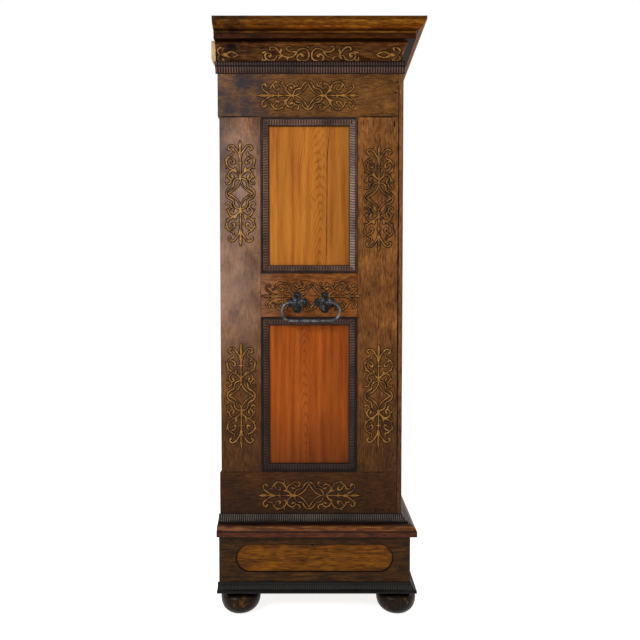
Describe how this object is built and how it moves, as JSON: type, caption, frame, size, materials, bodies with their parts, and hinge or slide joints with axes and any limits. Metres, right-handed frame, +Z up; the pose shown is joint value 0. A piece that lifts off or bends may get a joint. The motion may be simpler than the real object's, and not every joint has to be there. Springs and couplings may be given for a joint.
{
  "type": "wardrobe",
  "caption": "Baroque panelled wardrobe with hinged doors, drawer base on bun feet, projecting cornice, ripple mouldings and iron bail handles on the sides.",
  "frame": {"origin": "on the floor under the centre of the whole piece's box", "axes": "+Z up, doors and drawers face -Y, -X is the side the picture shows"},
  "size_m": [1.92, 0.759, 2.127],
  "materials": {
    "stained_frame_pine": "dark brown stained and waxed pine, satin",
    "amber_panel_pine": "amber shellacked pine, semi-gloss",
    "ebonised_ripple": "black-brown stained ripple moulding, satin",
    "cornice_walnut": "red-brown stained moulding, waxed",
    "bare_pine": "bare sawn pine, matt",
    "wrought_iron": "forged iron, blackened"
  },
  "bodies": {
    "carcass": {"back_boards": "bare_pine", "base_back": "bare_pine", "base_floor": "bare_pine", "base_front_frame": "stained_frame_pine", "base_lid": "bare_pine", "base_ripple": "ebonised_ripple", "base_sides": "stained_frame_pine", "bun_feet": "stained_frame_pine", "case_ceiling": "bare_pine", "case_floor": "bare_pine", "centre_post": "stained_frame_pine", "clothes_rail": "stained_frame_pine", "corner_posts": "stained_frame_pine", "crown_back_board": "bare_pine", "crown_cornice": "cornice_walnut", "crown_frieze": "cornice_walnut", "crown_ripple": "ebonised_ripple", "drawer_runners": "bare_pine", "dust_boards": "bare_pine", "front_rails": "stained_frame_pine", "handle_rosettes": "wrought_iron", "hat_shelf": "bare_pine", "hinge_pintles": "wrought_iron", "rail_sockets": "stained_frame_pine", "shelf_battens": "bare_pine", "side_panels_left": "amber_panel_pine", "side_panels_right": "amber_panel_pine", "side_rails_left": "stained_frame_pine", "side_rails_right": "stained_frame_pine", "side_ripple_lower_left": "ebonised_ripple", "side_ripple_lower_right": "ebonised_ripple", "side_ripple_upper_left": "ebonised_ripple", "side_ripple_upper_right": "ebonised_ripple", "side_stiles_left": "stained_frame_pine", "side_stiles_right": "stained_frame_pine", "waist_moulding": "cornice_walnut", "waist_ripple": "ebonised_ripple"},
    "door_left": {"door_stiles_left": "stained_frame_pine", "door_rails_left": "stained_frame_pine", "door_panels_left": "amber_panel_pine", "door_ripple_left": "ebonised_ripple", "door_hinges_left": "wrought_iron", "door_lock_left": "wrought_iron"},
    "drawer_left": {"drawer_left": "stained_frame_pine", "drawer_knobs_left": "stained_frame_pine"},
    "bail_left": {"bail_handle_left": "wrought_iron"},
    "key_left": {"key_left": "wrought_iron"},
    "bolt_left": {"lock_bolt_left": "wrought_iron"},
    "door_right": {"door_stiles_right": "stained_frame_pine", "door_rails_right": "stained_frame_pine", "door_panels_right": "amber_panel_pine", "door_ripple_right": "ebonised_ripple", "door_hinges_right": "wrought_iron", "door_lock_right": "wrought_iron"},
    "drawer_right": {"drawer_right": "stained_frame_pine", "drawer_knobs_right": "stained_frame_pine"},
    "bail_right": {"bail_handle_right": "wrought_iron"},
    "key_right": {"key_right": "wrought_iron"},
    "bolt_right": {"lock_bolt_right": "wrought_iron"}
  },
  "joints": [
    {"name": "door_left_hinge", "type": "hinge", "parent": "carcass", "child": "door_left", "pos_m": [-0.7585, -0.317, 1.157], "axis": [0, 0, -1], "range_deg": [0, 165]},
    {"name": "drawer_left_slide", "type": "slide", "parent": "carcass", "child": "drawer_left", "axis": [0, -1, 0], "range_m": [0, 0.42]},
    {"name": "bail_left_swing", "type": "hinge", "parent": "carcass", "child": "bail_left", "pos_m": [-0.916, 0.0235, 1.139], "axis": [0, 1, 0], "range_deg": [0, 110]},
    {"name": "key_left_turn", "type": "hinge", "parent": "door_left", "child": "key_left", "pos_m": [-0.1055, -0.33, 1.165], "axis": [0, 1, 0], "range_deg": [0, 90]},
    {"name": "bolt_left_slide", "type": "slide", "parent": "door_left", "child": "bolt_left", "axis": [1, 0, 0], "range_m": [0, 0.014]},
    {"name": "door_right_hinge", "type": "hinge", "parent": "carcass", "child": "door_right", "pos_m": [0.7585, -0.317, 1.157], "axis": [0, 0, 1], "range_deg": [0, 165]},
    {"name": "drawer_right_slide", "type": "slide", "parent": "carcass", "child": "drawer_right", "axis": [0, -1, 0], "range_m": [0, 0.42]},
    {"name": "bail_right_swing", "type": "hinge", "parent": "carcass", "child": "bail_right", "pos_m": [0.916, 0.0235, 1.139], "axis": [0, -1, 0], "range_deg": [0, 110]},
    {"name": "key_right_turn", "type": "hinge", "parent": "door_right", "child": "key_right", "pos_m": [0.1055, -0.33, 1.165], "axis": [0, -1, 0], "range_deg": [0, 90]},
    {"name": "bolt_right_slide", "type": "slide", "parent": "door_right", "child": "bolt_right", "axis": [-1, 0, 0], "range_m": [0, 0.014]}
  ],
  "couplings": [
    {"joint": "key_left_turn", "follows": "bolt_left_slide", "rad_per_m": 112.1},
    {"joint": "key_right_turn", "follows": "bolt_right_slide", "rad_per_m": 112.1}
  ]
}
